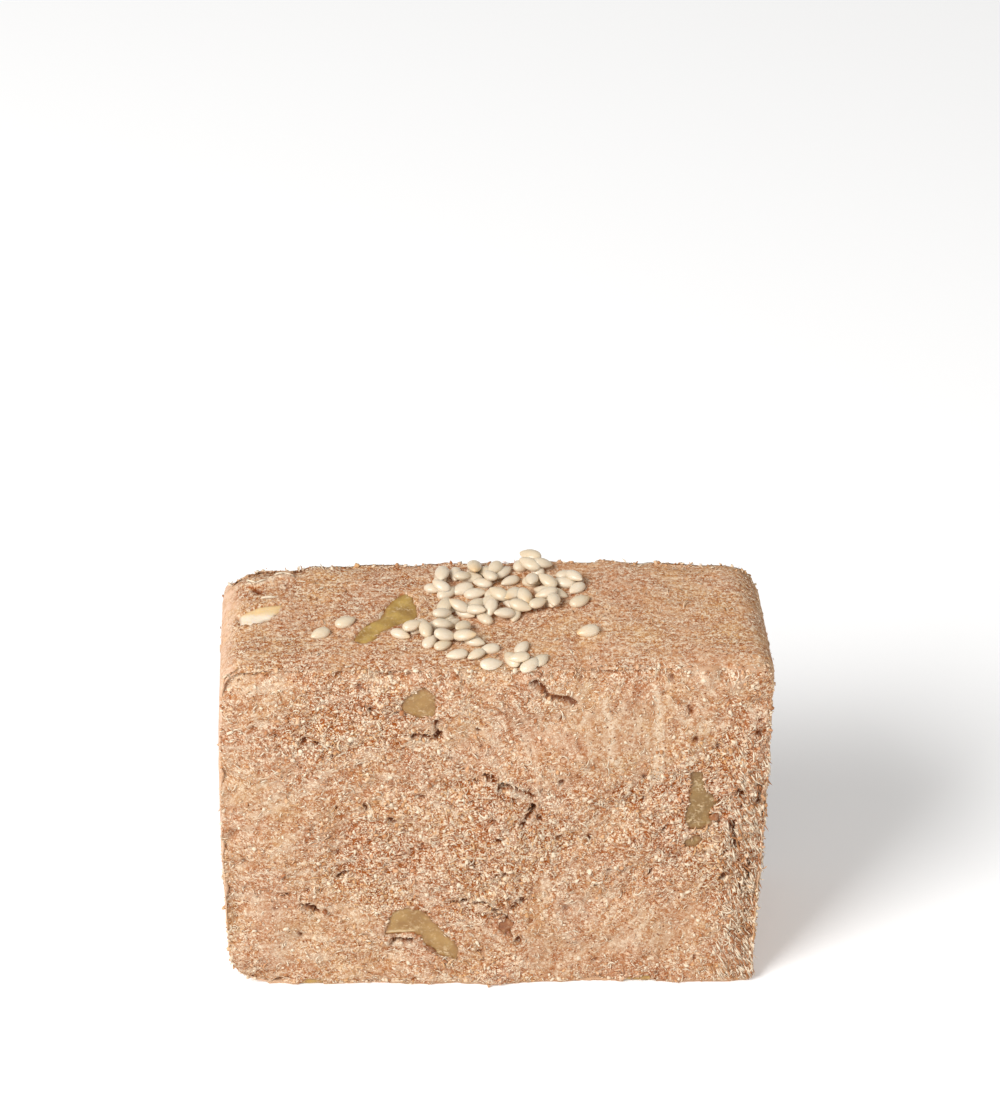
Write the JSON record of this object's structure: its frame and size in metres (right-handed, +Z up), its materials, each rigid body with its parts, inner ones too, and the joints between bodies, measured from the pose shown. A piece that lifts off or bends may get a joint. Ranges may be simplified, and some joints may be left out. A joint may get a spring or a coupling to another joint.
{
  "type": "sesame halva block",
  "caption": "Upright slice of crumbly sesame halva with chopped walnut in its faces and hulled sesame seeds sprinkled over the middle of its top.",
  "frame": {"origin": "middle of the flat base that the slice stands on", "axes": "+X across the slice, to the right of someone facing the front cut; +Y from the front cut to the back cut, through the slice's thickness; +Z up"},
  "size_m": [0.0775, 0.0267, 0.0602],
  "materials": {
    "halva": "crumbly tan sesame paste, matt on the cuts and pressed smooth on the moulded faces",
    "walnut": "waxy olive cream nut, cut flat",
    "sesame": "satin ivory hulled seed"
  },
  "bodies": {
    "root": {"halva": "halva", "walnut_front_upper": "walnut", "walnut_front_right": "walnut", "walnut_front_right_chip": "walnut", "walnut_front_lower": "walnut", "walnut_front_small": "walnut", "walnut_top_middle": "walnut", "walnut_top_left": "walnut", "walnut_base_left": "walnut", "walnut_base_right": "walnut", "walnut_back_branch": "walnut", "walnut_back_bean": "walnut", "walnut_back_pair_upper": "walnut", "walnut_back_pair_lower": "walnut", "walnut_back_wedge": "walnut", "walnut_left_side": "walnut", "walnut_right_side": "walnut"}
  },
  "joints": []
}
